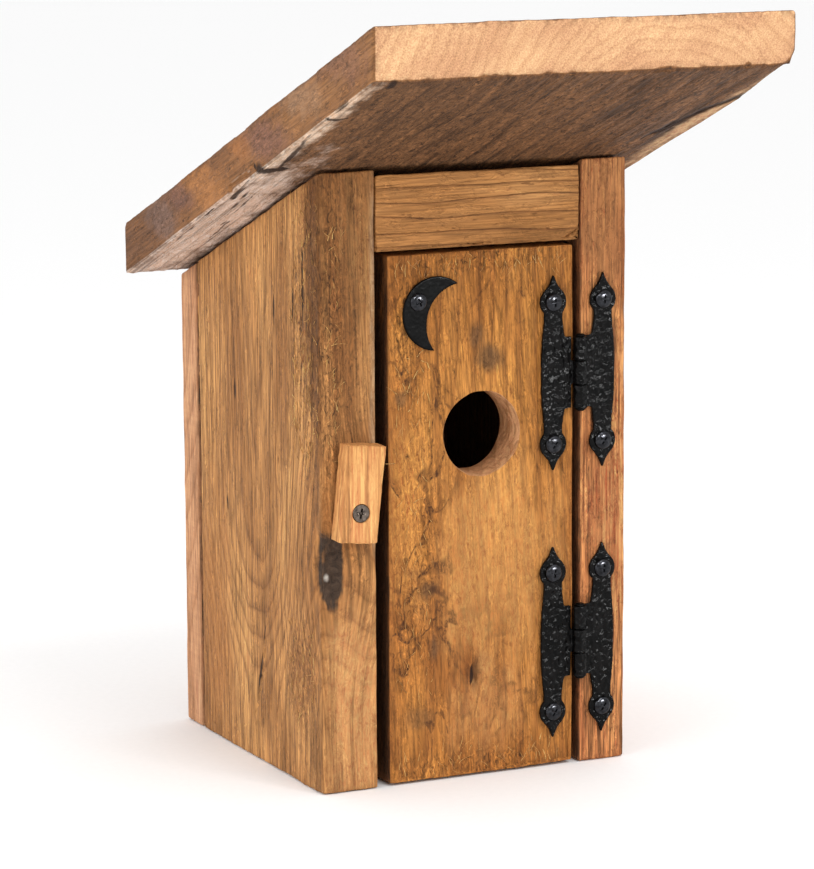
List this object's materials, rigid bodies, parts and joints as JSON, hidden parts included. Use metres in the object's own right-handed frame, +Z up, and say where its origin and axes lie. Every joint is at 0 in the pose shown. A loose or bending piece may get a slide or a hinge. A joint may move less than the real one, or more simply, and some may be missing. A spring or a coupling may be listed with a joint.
{
  "type": "birdhouse",
  "caption": "Free-standing wooden birdhouse with a lean-to roof board, round entry hole, hinged full-height door and a wooden turn button.",
  "frame": {"origin": "on the ground, under the middle of the roof board, which is also the middle of the whole birdhouse's footprint", "axes": "+X to the hinge side of the door, +Y from the door to the back board, +Z up"},
  "size_m": [0.2, 0.2768, 0.3525],
  "materials": {
    "side_wood": "oiled reclaimed board, rough sawn",
    "door_wood": "oiled golden board, fuzzy sawn face",
    "rail_wood": "oiled board with wavy dark grain",
    "roof_wood": "weathered rough sawn board, pale cut ends",
    "back_wood": "rough sawn board",
    "floor_wood": "bare board",
    "button_wood": "oiled block with eased edges",
    "black_iron": "hammered, black, half gloss",
    "steel": "zinc plated"
  },
  "bodies": {
    "root": {"left_side_board": "side_wood", "right_side_board": "side_wood", "back_board": "back_wood", "floor_board": "floor_wood", "top_rail": "rail_wood", "roof_board": "roof_wood", "turn_button_screw": "steel", "lower_hinge_frame_leaf": "black_iron", "lower_hinge_pin": "black_iron", "lower_hinge_frame_screws": "black_iron", "upper_hinge_frame_leaf": "black_iron", "upper_hinge_pin": "black_iron", "upper_hinge_frame_screws": "black_iron", "roof_screws": "steel", "back_screws": "steel", "floor_screws": "steel", "rail_nails": "steel"},
    "door": {"door_board": "door_wood", "moon_plate": "black_iron", "moon_screw": "black_iron", "lower_hinge_door_leaf": "black_iron", "lower_hinge_door_screws": "black_iron", "upper_hinge_door_leaf": "black_iron", "upper_hinge_door_screws": "black_iron"},
    "turn_button": {"turn_button": "button_wood"}
  },
  "joints": [
    {"name": "door_swing", "type": "hinge", "parent": "root", "child": "door", "pos_m": [0.0575, -0.02388, 0.1209], "axis": [0, 0, 1], "range_deg": [0, 170]},
    {"name": "button_turn", "type": "hinge", "parent": "root", "child": "turn_button", "pos_m": [-0.0558, -0.0262, 0.1293], "axis": [0, 1, 0], "continuous": true}
  ]
}
